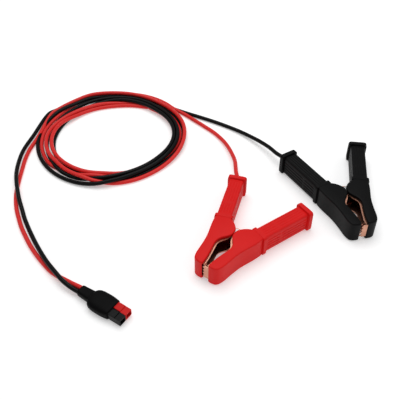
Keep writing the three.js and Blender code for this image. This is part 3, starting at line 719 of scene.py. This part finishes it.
def grooved(s, x, z):
    """The section at a place along the handle with its grooves: top and bottom sink along z, the sides
    along x, by depth * fade * (1 - (distance from the groove's middle / its half width)^2)."""
    fade = sum(swell(s, start, end, 1.2) for start, end in GROOVE_PANELS)
    top = sum(np.clip(1 - ((x - g) / 0.7) ** 2, 0, 1) for g in TOP_GROOVES)
    side = sum(np.clip(1 - ((z - g) / 0.8) ** 2, 0, 1) for g in SIDE_GROOVES)
    on_top = np.abs(z) > HANDLE_HALF_HEIGHT - 1
    sunk_x = x - np.sign(x) * SIDE_GROOVE_DEPTH * fade * side
    sunk_z = z - np.sign(z) * TOP_GROOVE_DEPTH * fade * top
    return np.where(on_top, x, sunk_x), np.where(on_top, sunk_z, z)


print("handle", 2 * HANDLE_HALF_WIDTH, "by", 2 * HANDLE_HALF_HEIGHT, "mm between rib and flange")

# %% [markdown]
# The sections are then strung along the arm. At the end the surface turns in and runs back inside, through
# a wide mouth on the free arm and a cable hole on the other, so the handle is hollow and has a real wall.

# %% Handle surface


def handle_arrays(carries_cable, hole_out):
    """The grid of the handle: rows along the outside, over the end and back inside; columns round it."""
    even = np.linspace(0, 2 * np.pi, HANDLE_SIDES, endpoint=False)
    x, z = rounded_ring(HANDLE_HALF_WIDTH, HANDLE_HALF_HEIGHT, HANDLE_SQUARENESS, even)
    reach = np.concatenate([[0], np.cumsum(np.hypot(np.diff(x), np.diff(z)))])
    turn = np.interp(np.linspace(0, reach[-1], HANDLE_SIDES, endpoint=False), reach, even)
    stops = [-4, -2.6, -2.3, -2, -1.7, 1.7, 2, 2.3, 2.6, 4, *np.arange(5, 20.6, 0.6), 21.5,
             *np.arange(22.4, 53.5, 0.8), 53.9, 54.2, 54.5, 54.8, 55.1, 55.6, 57, 59, 59.4]
    rows = []
    for s in stops:
        rib = swell(s, -2, 2)
        flange = swell(s, FLANGE_START, 61)
        neck = swell(s, FLANGE_START - 0.9, FLANGE_START, 0.4)
        a = HANDLE_HALF_WIDTH + RIB[0] * rib + FLANGE[0] * flange - NECK * neck
        b = HANDLE_HALF_HEIGHT + RIB[1] * rib + FLANGE[1] * flange - NECK * neck
        rows.append((s, *grooved(s, *rounded_ring(a, b, HANDLE_SQUARENESS, turn))))
    # the end: place along the handle, half width, half height, squareness
    end = [(HANDLE_END - 0.15, HANDLE_HALF_WIDTH + 1.8, HANDLE_HALF_HEIGHT + 1.0, HANDLE_SQUARENESS),
           (HANDLE_END, HANDLE_HALF_WIDTH + 1.4, HANDLE_HALF_HEIGHT + 0.6, HANDLE_SQUARENESS)]
    inner = (HANDLE_HALF_WIDTH - WALL, HANDLE_HALF_HEIGHT - 2.2, 8.0)
    hole_rows = range(len(rows) + 2, len(rows) + 7) if carries_cable else ()
    if carries_cable:
        hole = CABLE / 2 + 0.25
        end += [(HANDLE_END, 5.2, 5.2, 3.0), (HANDLE_END + 0.2, hole + 1.2, hole + 1.2, 2.0),
                (HANDLE_END, hole + 0.3, hole + 0.3, 2.0), (HANDLE_END - 0.4, hole, hole, 2.0),
                (HANDLE_END - 1.6, hole, hole, 2.0), (HANDLE_END - 1.6, *inner)]
    else:
        end += [(HANDLE_END, inner[0] + 0.4, inner[1] + 0.4, 8.0), (HANDLE_END - 0.4, *inner)]
    end += [(HANDLE_END / 2, *inner), (-4.0, *inner)]
    rows += [(s, *rounded_ring(a, b, n, turn)) for s, a, b, n in end]
    points = []
    for row, (s, x, z) in enumerate(rows):
        if row in hole_rows:
            x = x + hole_out
        flat = ARM_FOOT + ARM_WAY * s + ARM_OUT * x[:, None]
        points.append(np.column_stack([flat, z + MID]))
    faces = grid_faces(len(rows), len(turn), rows_close=True, columns_close=True)
    return np.vstack(points), faces.tolist()


print("handle surface", len(handle_arrays(True, 0)[0]), "points with a cable hole")

# %% [markdown]
# The shell is thickened first and then joined to its handle as plain arrays, so each cover is one piece.
# The cable arm is the free arm mirrored, and a mirror turns a surface inside out. The shell's faces are
# therefore turned back on the cable arm. The handle's rows run the other way round, so its faces are turned
# on the free arm.

# %% Clip covers


def arrays_of(piece):
    """A finished piece's points and faces, with its modifiers worked in; the piece is then removed."""
    mesh = piece.evaluated_get(bpy.context.evaluated_depsgraph_get()).to_mesh()
    points = point_array(mesh)
    faces = [list(polygon.vertices) for polygon in mesh.polygons]
    bpy.data.objects.remove(piece)
    return points, faces


def thick_shell():
    """The shell with its wall, in millimetres."""
    raw = face_outwards(mesh_piece("shell", shell_points, shell_faces))
    wall = raw.modifiers.new("wall", "SOLIDIFY")
    wall.thickness = WALL
    wall.offset = -1
    bpy.context.view_layer.update()
    return arrays_of(raw)


def in_clip(points, clip, mirrored):
    """Points of a clip's own frame, mirrored for the cable arm, turned and set down at its pivot."""
    p = np.array(points, float)
    if mirrored:
        p[:, 0] *= -1
    flat = turned(p[:, :2], clip["turn"]) + clip["pivot"]
    return metres(np.column_stack([flat, p[:, 2]]))


wall_points, wall_faces = thick_shell()
for name, clip in CLIPS.items():
    for arm, carries in (("cable_arm", True), ("free_arm", False)):
        handle_points, handle_faces = handle_arrays(carries, clip["hole_out"])
        points = np.vstack([wall_points, handle_points])
        grips = [[corner + len(wall_points) for corner in face] for face in handle_faces]
        walls = [face[::-1] for face in wall_faces] if carries else wall_faces
        grips = grips if carries else [face[::-1] for face in grips]
        piece = mesh_piece(f"{name}_{arm}_moulding", in_clip(points, clip, carries), walls + grips, 38)
        dress(piece, plastics[f"{name}_pvc"])
        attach(piece, ROOT if carries else f"{name}_free_arm")
        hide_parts(f"{name}_{arm}_cover")
        print(piece.name, len(piece.data.polygons), "faces")

# %% [markdown]
# The bite of the clip is a toothed lip that the free arm's sheet is bent into: it fills the gap between
# the two noses, with its row of points toward the other arm. The lip is its zigzag outline from the
# front, extruded by the sheet's thickness.

# %% Toothed lips
TEETH = 4
TOOTH_TIP = -2.75
TOOTH_ROOT = -0.9
LIP_BACK = 3.6
LIP_HALF = 7.9
LIP_THICK = 0.9
LIP_FRONT = -51.7


def toothed_lip(name, clip):
    """The outline (x, z): a straight back edge and points at every tooth's middle, in two copies."""
    z = np.linspace(-LIP_HALF, LIP_HALF, 2 * TEETH + 1)
    x = np.where(np.arange(len(z)) % 2 == 1, TOOTH_TIP, TOOTH_ROOT)
    outline = np.vstack([np.column_stack([x, z]), [(LIP_BACK, z[-1]), (LIP_BACK, z[0])]])
    layers = [np.column_stack([outline[:, 0], np.full(len(outline), y), outline[:, 1] + MID])
              for y in (LIP_FRONT, LIP_FRONT + LIP_THICK)]
    points = in_clip(np.vstack(layers), clip, False)
    piece = face_outwards(mesh_piece(name, points, capped_faces(2, len(outline)), 20))
    edge = piece.modifiers.new("edge", "BEVEL")
    edge.width = 0.15 * MM
    edge.segments = 2
    return piece


for name, clip in CLIPS.items():
    lip = toothed_lip(f"{name}_toothed_lip", clip)
    dress(lip, copper)
    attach(lip, f"{name}_free_arm")
    print(lip.name, TEETH, "teeth")

# %% [markdown]
# The torsion spring sits round the rivet: four and a quarter turns of 1.3 mm wire whose legs lie in the
# handles. It is a helix between two straight legs.

# %% Springs
SPRING_RADIUS = 3.6
SPRING_TURNS = 4.25
SPRING_HEIGHT = 6.8
SPRING_WIRE = 1.3
LEG_REACH = 20


def spring_path():
    """Leg, helix and leg: the helix is (r cos a, r sin a), rising evenly while a falls. The legs leave it
    at 45 degrees and then bend to lie along the handles."""
    steps = np.linspace(0, 1, 140)
    angle = -np.pi / 4 - steps * 2 * np.pi * SPRING_TURNS
    low = MID - SPRING_HEIGHT / 2
    helix = np.column_stack([SPRING_RADIUS * np.cos(angle), SPRING_RADIUS * np.sin(angle),
                             low + steps * SPRING_HEIGHT])
    bend = 10 + SPRING_RADIUS * np.sqrt(2)
    tip = arm_point(LEG_REACH, -SPRING_RADIUS)
    leg = np.array([(tip[0], tip[1], low), (bend + 1.5, 12.5, low), (bend - 1.5, 8.5, low)])
    other_leg = leg[::-1] * [-1, 1, 1] + [0, 0, SPRING_HEIGHT]
    return smooth_curve(np.vstack([leg, helix, other_leg]), 360)


for name, clip in CLIPS.items():
    path = in_clip(spring_path(), clip, False)
    spring = tube(f"{name}_torsion_spring", path, SPRING_WIRE / 2 * MM, 10)
    dress(spring, steel)
    start = in_clip([(-3, 0, MID)], clip, False)[0]
    end = in_clip([(3, 0, MID)], clip, False)[0]
    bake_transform(spring)
    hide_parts(f"{name}_spring")
    print(spring.name, "spans", (np.ptp(path, axis=0) / MM).round(1).tolist(), "mm")

# %% [markdown]
# The connector's boot is soft black rubber moulded over the two housings: a full, pillow-like body that
# narrows in a clear step to a flat neck round both cables. It is a superellipse carried backwards from
# the front edge, with the half width and half height written at a few places along it.

# %% Boot
BOOT_LINE = [
    # back from the front edge, half width, half height, squareness
    (-0.2, 8.3, 4.5, 5.0), (0.0, 9.0, 4.9, 5.0), (0.6, 9.5, 5.2, 4.5), (4, 10.2, 5.45, 3.6),
    (8, 10.8, 5.5, 3.2), (13, 10.9, 5.5, 3.0), (18, 10.7, 5.5, 3.0), (21.5, 10.0, 5.3, 3.0),
    (23.6, 8.8, 4.9, 3.0), (24.8, 7.2, 4.4, 3.0), (25.4, 6.1, 4.1, 3.4), (26.6, 5.9, 3.95, 3.8),
    (32, 5.5, 3.8, 3.8), (37.6, 5.2, 3.8, 3.8), (38.6, 4.9, 3.6, 3.6), (39.0, 4.3, 3.1, 3.2),
    (39.0, 3.0, 2.0, 3.0),
]


def in_plug(points):
    """Points of the connector's own frame, x toward the mating faces from the boot's front edge."""
    p = np.asarray(points, float)
    base = PLUG_FRONT - PLUG_WAY * (HOUSING_LENGTH - HOUSING_SEAT)
    flat = base + p[..., :1] * PLUG_WAY + p[..., 1:2] * PLUG_LEFT
    return metres(np.concatenate([flat, p[..., 2:3]], axis=-1))


def plug_piece(name, rings, sharp_degrees):
    """A closed surface over rings of points in the connector's own frame."""
    faces = capped_faces(len(rings), len(rings[0]))
    return face_outwards(mesh_piece(name, in_plug(np.vstack(rings)), faces, sharp_degrees))


def boot_piece(sides=72):
    """Rings from the front edge back to the neck's end, spaced evenly along the written line."""
    line = np.array(BOOT_LINE)
    stretch = np.linalg.norm(np.diff(line[:, :3], axis=0), axis=1)
    reach = np.concatenate([[0], np.cumsum(stretch)])
    even = np.union1d(np.linspace(0, reach[-1], 70), reach)
    x, a, b, n = (np.interp(even, reach, line[:, k]) for k in range(4))
    turn = np.linspace(0, 2 * np.pi, sides, endpoint=False)
    rings = []
    for back_by, half_width, half_height, squareness in zip(x, a, b, n):
        y, z = rounded_ring(half_width, half_height, squareness, turn)
        rings.append(np.column_stack([np.full(sides, -back_by), y, z + BOOT_MID]))
    return plug_piece("moulded_boot", rings, 40)


boot = boot_piece()
dress(boot, plastics["boot_rubber"])
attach(boot, ROOT)
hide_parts("connector_boot")
print(boot.name, len(boot.data.polygons), "faces")

# %% [markdown]
# Each housing is a small square sleeve with a flat contact inside. The sleeve is a rounded square that is
# carried along its length and turned back inside at the mouth, so that the opening is real. Its front end
# is stepped down on top, where the other half's hood slides over it.

# %% Housings and contacts
HOUSING_HALF = 3.95
HOUSING_OUT = 4.1
HOUSING_FRONT = HOUSING_LENGTH - HOUSING_SEAT
STEP_LENGTH = 6.5
STEP_ROW = 7
STEP_TOP = 3.1
BORE_HALF = 2.9
BORE_TOP = 2.1
BORE_DEPTH = 13
HOUSING_LINE = [
    # place along the connector, half width; rows past STEP_ROW are cut off at the step's or bore's top
    (-HOUSING_SEAT, 3.0), (-HOUSING_SEAT, 3.6), (-HOUSING_SEAT + 0.3, HOUSING_HALF), (0.8, HOUSING_HALF),
    (1.0, HOUSING_HALF - 0.25), (1.6, HOUSING_HALF - 0.25), (1.8, HOUSING_HALF),
    (HOUSING_FRONT - STEP_LENGTH, HOUSING_HALF), (HOUSING_FRONT - STEP_LENGTH + 0.1, HOUSING_HALF),
    (HOUSING_FRONT - 0.5, HOUSING_HALF), (HOUSING_FRONT - 0.15, HOUSING_HALF - 0.12),
    (HOUSING_FRONT, HOUSING_HALF - 0.4), (HOUSING_FRONT, 3.15), (HOUSING_FRONT - 0.2, BORE_HALF),
    (HOUSING_FRONT - BORE_DEPTH, BORE_HALF - 0.05), (HOUSING_FRONT - BORE_DEPTH, 1.2),
]


def housing_piece(name, side, sides=64):
    """Rings along the outside of the sleeve, over its mouth and down to the floor of its bore."""
    turn = np.linspace(0, 2 * np.pi, sides, endpoint=False)
    rings = []
    for row, (x, half) in enumerate(HOUSING_LINE):
        y, z = rounded_ring(half, half, 14.0, turn)
        if row > STEP_ROW:
            z = np.minimum(z, BORE_TOP if half <= BORE_HALF else STEP_TOP)
        rings.append(np.column_stack([np.full(sides, x), y + side * HOUSING_OUT, z + BOOT_MID]))
    return plug_piece(f"{name}_sleeve", rings, 38)


def contact_piece(name, side, sides=24):
    """A flat tongue. Toward its tip it narrows, thins and dips by the square of the way into the tip."""
    x = np.linspace(HOUSING_FRONT - 20.8, HOUSING_FRONT - 3.2, 26)
    tip = np.clip((x - (HOUSING_FRONT - 6.5)) / 3.3, 0, 1)
    half_width = 2.25 * (1 - 0.35 * tip**2)
    half_height = 0.5 * (1 - 0.55 * tip**2)
    middle = BOOT_MID + 0.05 - 0.55 * tip**2
    turn = np.linspace(0, 2 * np.pi, sides, endpoint=False)
    rings = []
    for place, a, b, height in zip(x, half_width, half_height, middle):
        y, z = rounded_ring(a, b, 6.0, turn)
        rings.append(np.column_stack([np.full(sides, place), y + side * HOUSING_OUT, z + height]))
    return plug_piece(f"{name}_tongue", rings, 40)


connector_pieces = {"red": [boot], "black": []}
for name, side in (("red", 1), ("black", -1)):
    sleeve = housing_piece(name, side)
    tongue = contact_piece(name, side)
    dress(sleeve, plastics[f"{name}_housing"])
    dress(tongue, silver)
    for piece, node, slot in ((sleeve, "housing", f"{name}_pvc"), (tongue, "contact", "contact_silver")):
        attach(piece, ROOT)
        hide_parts(f"{name}_{node}")
        connector_pieces[name].append(piece)
connector_pieces["black"].append(boot)
print({name: [piece.name for piece in pieces] for name, pieces in connector_pieces.items()})

# %% [markdown]
# Now that the connector exists, each cable is attached to the root body. The two cables stand for the plain
# leads and the plain ring of the frame, which are hidden.

for name in CLIPS:
    path = cable_paths[name]
    cable = cables[name]
    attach(cable, ROOT)
    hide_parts(f"{name}_clip_lead", f"{name}_plug_lead")
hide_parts("cable_coil")

# %% [markdown]
# The photograph is a cut-out on white. A plain white floor that glows a little, under an even sky, comes
# close to that. One large soft lamp above and behind gives the long highlights on the plastic, and a weak
# one from the right keeps the sides of the clips readable.

# %% Floor and light
FLOOR_HALF = 4
floor_data = bpy.data.meshes.new("floor")
floor_corners = [(x * FLOOR_HALF, y * FLOOR_HALF, 0) for x, y in ((-1, -1), (1, -1), (1, 1), (-1, 1))]
floor_data.from_pydata(floor_corners, [], [(0, 1, 2, 3)])
floor = bpy.data.objects.new("floor", floor_data)
bpy.context.scene.collection.objects.link(floor)
floor_finish = Finish("floor_white", roughness=0.9, base_color=(0.82, 0.82, 0.82, 1),
                      specular_ior_level=0.1, emission_color=(1, 1, 1, 1), emission_strength=0.34)
dress(floor, floor_finish)

world = bpy.data.worlds.new("studio")
world.use_nodes = True
world.node_tree.nodes["Background"].inputs["Color"].default_value = (1, 1, 1, 1)
world.node_tree.nodes["Background"].inputs["Strength"].default_value = 0.42
bpy.context.scene.world = world


def soft_lamp(name, place, aim, size, power):
    """A square lamp turned from its place toward its aim."""
    data = bpy.data.lights.new(name, "AREA")
    data.size = size
    data.energy = power
    lamp = bpy.data.objects.new(name, data)
    lamp.location = place
    lamp.rotation_euler = (Vector(aim) - Vector(place)).to_track_quat("-Z", "Y").to_euler()
    bpy.context.scene.collection.objects.link(lamp)
    print(name, "lamp", power, "W")


soft_lamp("overhead", (-0.15, 0.35, 1.25), (-0.09, 0.03, 0), 1.1, 10)
soft_lamp("right", (0.9, -0.3, 0.8), (-0.05, 0.0, 0), 0.7, 1.6)
bpy.context.scene.view_settings.view_transform = "Standard"
